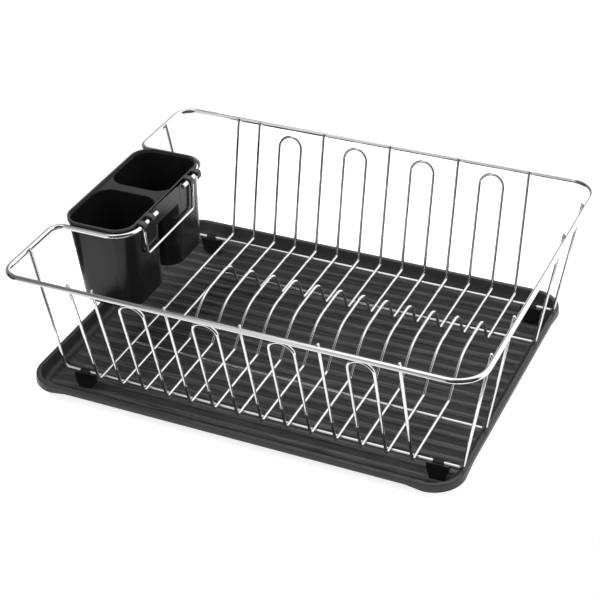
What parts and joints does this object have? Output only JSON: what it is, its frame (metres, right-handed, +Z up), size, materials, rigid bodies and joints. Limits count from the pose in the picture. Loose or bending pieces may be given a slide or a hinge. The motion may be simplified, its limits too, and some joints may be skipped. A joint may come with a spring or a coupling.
{
  "type": "dish drying rack",
  "caption": "Chrome wire dish drying rack with plate dividers, standing on a ribbed drip tray, with a lift-off cutlery holder hung in a notch of its rim.",
  "frame": {"origin": "middle of the rack in plan, on the surface that the drip tray stands on", "axes": "+X along the rack away from the cutlery holder, +Y towards the back, +Z up"},
  "size_m": [0.471, 0.363, 0.1527],
  "materials": {
    "chrome_wire": "bright chrome plated steel wire",
    "black_plastic": "satin black, fine moulded grain"
  },
  "bodies": {
    "tray": {"drip_tray": "black_plastic"},
    "rack": {"cross_loop_12_13": "chrome_wire", "cross_loop_3_4": "chrome_wire", "cross_loop_6_7": "chrome_wire", "cross_loop_9_10": "chrome_wire", "cross_wire_1": "chrome_wire", "cross_wire_11": "chrome_wire", "cross_wire_14": "chrome_wire", "cross_wire_2": "chrome_wire", "cross_wire_5": "chrome_wire", "cross_wire_8": "chrome_wire", "foot_back_left": "black_plastic", "foot_back_right": "black_plastic", "foot_front_left": "black_plastic", "foot_front_right": "black_plastic", "holder_bracket": "chrome_wire", "long_wire_back": "chrome_wire", "long_wire_front": "chrome_wire", "long_wire_mid_back": "chrome_wire", "long_wire_mid_front": "chrome_wire", "rim_wire": "chrome_wire"},
    "holder": {"cutlery_holder": "black_plastic"}
  },
  "joints": [
    {"name": "rack_lift", "type": "slide", "parent": "tray", "child": "rack", "axis": [0, 0, 1], "range_m": [0, 0.15]},
    {"name": "holder_lift", "type": "slide", "parent": "rack", "child": "holder", "axis": [0, 0, 1], "range_m": [0, 0.12]}
  ]
}
